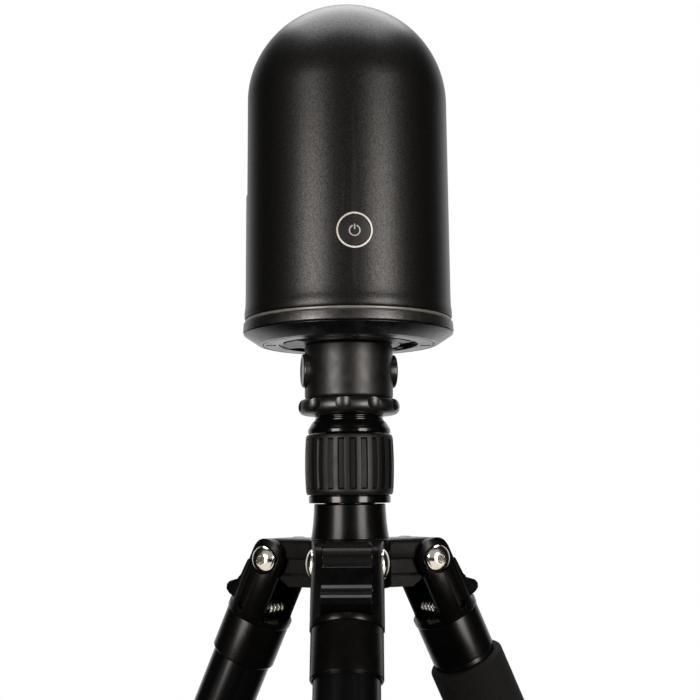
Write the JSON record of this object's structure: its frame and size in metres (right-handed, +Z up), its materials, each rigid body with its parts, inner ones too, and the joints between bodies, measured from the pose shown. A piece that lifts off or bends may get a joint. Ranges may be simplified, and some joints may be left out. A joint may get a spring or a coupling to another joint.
{
  "type": "laser scanner on tripod",
  "caption": "Domed imaging laser scanner with a turning head and scan slot, on a quick-release adapter and a compact travel tripod with folding, extending legs.",
  "frame": {"origin": "on the ground, in the middle of the box round the standing tripod", "axes": "+Z up along the column, -Y towards the front leg and the power button"},
  "size_m": [0.3344, 0.2932, 0.5616],
  "materials": {
    "shell": "fine satin anodised black",
    "base_ring": "coarse bead-blasted black",
    "base_satin": "satin black",
    "light_line": "translucent warm grey",
    "steel": "fine turned",
    "bezel": "polished edge",
    "button": "satin black",
    "chassis": "matte black",
    "mirror": "polished front surface",
    "circuit_board": "solder mask",
    "battery": "matte",
    "lens": "coated lens",
    "anodised": "satin anodised black",
    "gloss_black": "gloss black",
    "tube_black": "glossy anodised black",
    "cast_black": "satin black over casting",
    "chrome": "polished",
    "rubber": "matte ribbed rubber",
    "lock": "ribbed matte",
    "foam": "matte closed-cell foam"
  },
  "bodies": {
    "crown": {"crown": "cast_black", "crown_collar": "cast_black"},
    "column": {"center_column": "tube_black", "column_head": "gloss_black", "column_hook": "steel", "adapter_neck": "anodised", "adapter_plate": "anodised"},
    "column_lock": {"column_lock": "gloss_black", "column_grip": "rubber"},
    "locking_ring": {"locking_ring": "gloss_black"},
    "release_left": {"release_button_left": "button"},
    "release_right": {"release_button_right": "button"},
    "scanner_base": {"base_pan": "base_satin", "base_plate": "base_satin", "base_ring": "base_ring", "light_ring": "light_line", "mount_plate": "steel", "azimuth_bearing": "steel"},
    "head": {"front_cover": "shell", "rear_cover": "shell", "head_chassis": "chassis", "laser_module": "chassis", "mirror_motor": "steel", "main_board": "circuit_board", "battery": "battery", "button_bezel": "bezel", "camera_upper": "lens", "camera_middle": "lens", "camera_lower": "lens", "azimuth_rotor": "steel"},
    "mirror": {"scan_mirror": "mirror"},
    "power_button": {"power_button": "button"},
    "front_leg": {"front_leg_bracket": "cast_black", "front_leg_pivot_bolt": "chrome", "front_leg_upper_tube": "tube_black"},
    "front_tab": {"front_leg_tab": "cast_black"},
    "front_upper_lock": {"front_leg_upper_lock": "lock"},
    "front_middle": {"front_leg_middle_tube": "tube_black"},
    "front_lower_lock": {"front_leg_lower_lock": "lock"},
    "front_lower": {"front_leg_lower_tube": "tube_black", "front_leg_foot": "rubber"},
    "right_leg": {"right_leg_bracket": "cast_black", "right_leg_pivot_bolt": "chrome", "right_leg_upper_tube": "tube_black", "foam_grip": "foam"},
    "right_tab": {"right_leg_tab": "cast_black"},
    "right_upper_lock": {"right_leg_upper_lock": "lock"},
    "right_middle": {"right_leg_middle_tube": "tube_black"},
    "right_lower_lock": {"right_leg_lower_lock": "lock"},
    "right_lower": {"right_leg_lower_tube": "tube_black", "right_leg_foot": "rubber"},
    "left_leg": {"left_leg_bracket": "cast_black", "left_leg_pivot_bolt": "chrome", "left_leg_upper_tube": "tube_black"},
    "left_tab": {"left_leg_tab": "cast_black"},
    "left_upper_lock": {"left_leg_upper_lock": "lock"},
    "left_middle": {"left_leg_middle_tube": "tube_black"},
    "left_lower_lock": {"left_leg_lower_lock": "lock"},
    "left_lower": {"left_leg_lower_tube": "tube_black", "left_leg_foot": "rubber"}
  },
  "joints": [
    {"name": "column_slide", "type": "slide", "parent": "crown", "child": "column", "axis": [0, 0, 1], "range_m": [0, 0.18]},
    {"name": "column_lock_turn", "type": "hinge", "parent": "crown", "child": "column_lock", "pos_m": [0, 0.04451, 0.3273], "axis": [0, 0, 1], "range_deg": [0, 90]},
    {"name": "locking_ring_turn", "type": "hinge", "parent": "column", "child": "locking_ring", "pos_m": [0, 0.04451, 0.3647], "axis": [0, 0, 1], "range_deg": [0, 540]},
    {"name": "release_left_press", "type": "slide", "parent": "column", "child": "release_left", "axis": [0.9816, 0.1908, 0], "range_m": [0, 0.002], "stiffness_N_per_m": 1500, "springref_m": -0.001},
    {"name": "release_right_press", "type": "slide", "parent": "column", "child": "release_right", "axis": [-0.9816, -0.1908, 0], "range_m": [0, 0.002], "stiffness_N_per_m": 1500, "springref_m": -0.001},
    {"name": "scanner_lift_off", "type": "slide", "parent": "column", "child": "scanner_base", "axis": [0, 0, 1], "range_m": [0, 0.04]},
    {"name": "head_turn", "type": "hinge", "parent": "scanner_base", "child": "head", "pos_m": [0, 0.04451, 0.4115], "axis": [0, 0, 1], "continuous": true},
    {"name": "mirror_spin", "type": "hinge", "parent": "head", "child": "mirror", "pos_m": [0, 0.04451, 0.5026], "axis": [-0.0802, 0.9968, 0], "continuous": true},
    {"name": "power_button_press", "type": "slide", "parent": "head", "child": "power_button", "axis": [-0.0802, 0.9968, 0], "range_m": [0, 0.0008], "stiffness_N_per_m": 1200, "springref_m": -0.0005},
    {"name": "front_leg_spread", "type": "hinge", "parent": "crown", "child": "front_leg", "pos_m": [0, 0.00601, 0.2974], "axis": [-1, 0, 0], "range_deg": [-26, 54]},
    {"name": "front_tab_pull", "type": "hinge", "parent": "front_leg", "child": "front_tab", "pos_m": [0, -0.00675, 0.2758], "axis": [1, 0, 0], "range_deg": [0, 5], "stiffness_Nm_per_rad": 0.3, "springref_deg": -11.46},
    {"name": "front_upper_lock_turn", "type": "hinge", "parent": "front_leg", "child": "front_upper_lock", "pos_m": [0, 0.00556, 0.29762], "axis": [0, -0.4384, -0.8988], "range_deg": [0, 90]},
    {"name": "front_middle_slide", "type": "slide", "parent": "front_leg", "child": "front_middle", "axis": [0, -0.4384, -0.8988], "range_m": [0, 0.16]},
    {"name": "front_lower_lock_turn", "type": "hinge", "parent": "front_middle", "child": "front_lower_lock", "pos_m": [0, 0.00556, 0.29762], "axis": [0, -0.4384, -0.8988], "range_deg": [0, 90]},
    {"name": "front_lower_slide", "type": "slide", "parent": "front_middle", "child": "front_lower", "axis": [0, -0.4384, -0.8988], "range_m": [0, 0.16]},
    {"name": "right_leg_spread", "type": "hinge", "parent": "crown", "child": "right_leg", "pos_m": [0.03334, 0.06376, 0.2974], "axis": [0.5, -0.866, 0], "range_deg": [-26, 54]},
    {"name": "right_tab_pull", "type": "hinge", "parent": "right_leg", "child": "right_tab", "pos_m": [0.04439, 0.07014, 0.2758], "axis": [-0.5, 0.866, 0], "range_deg": [0, 5], "stiffness_Nm_per_rad": 0.3, "springref_deg": -11.46},
    {"name": "right_upper_lock_turn", "type": "hinge", "parent": "right_leg", "child": "right_upper_lock", "pos_m": [0.03373, 0.06399, 0.29762], "axis": [0.3796, 0.2192, -0.8988], "range_deg": [0, 90]},
    {"name": "right_middle_slide", "type": "slide", "parent": "right_leg", "child": "right_middle", "axis": [0.3796, 0.2192, -0.8988], "range_m": [0, 0.16]},
    {"name": "right_lower_lock_turn", "type": "hinge", "parent": "right_middle", "child": "right_lower_lock", "pos_m": [0.03373, 0.06399, 0.29762], "axis": [0.3796, 0.2192, -0.8988], "range_deg": [0, 90]},
    {"name": "right_lower_slide", "type": "slide", "parent": "right_middle", "child": "right_lower", "axis": [0.3796, 0.2192, -0.8988], "range_m": [0, 0.16]},
    {"name": "left_leg_spread", "type": "hinge", "parent": "crown", "child": "left_leg", "pos_m": [-0.03334, 0.06376, 0.2974], "axis": [0.5, 0.866, 0], "range_deg": [-26, 54]},
    {"name": "left_tab_pull", "type": "hinge", "parent": "left_leg", "child": "left_tab", "pos_m": [-0.04439, 0.07014, 0.2758], "axis": [-0.5, -0.866, 0], "range_deg": [0, 5], "stiffness_Nm_per_rad": 0.3, "springref_deg": -11.46},
    {"name": "left_upper_lock_turn", "type": "hinge", "parent": "left_leg", "child": "left_upper_lock", "pos_m": [-0.03373, 0.06399, 0.29762], "axis": [-0.3796, 0.2192, -0.8988], "range_deg": [0, 90]},
    {"name": "left_middle_slide", "type": "slide", "parent": "left_leg", "child": "left_middle", "axis": [-0.3796, 0.2192, -0.8988], "range_m": [0, 0.16]},
    {"name": "left_lower_lock_turn", "type": "hinge", "parent": "left_middle", "child": "left_lower_lock", "pos_m": [-0.03373, 0.06399, 0.29762], "axis": [-0.3796, 0.2192, -0.8988], "range_deg": [0, 90]},
    {"name": "left_lower_slide", "type": "slide", "parent": "left_middle", "child": "left_lower", "axis": [-0.3796, 0.2192, -0.8988], "range_m": [0, 0.16]}
  ]
}
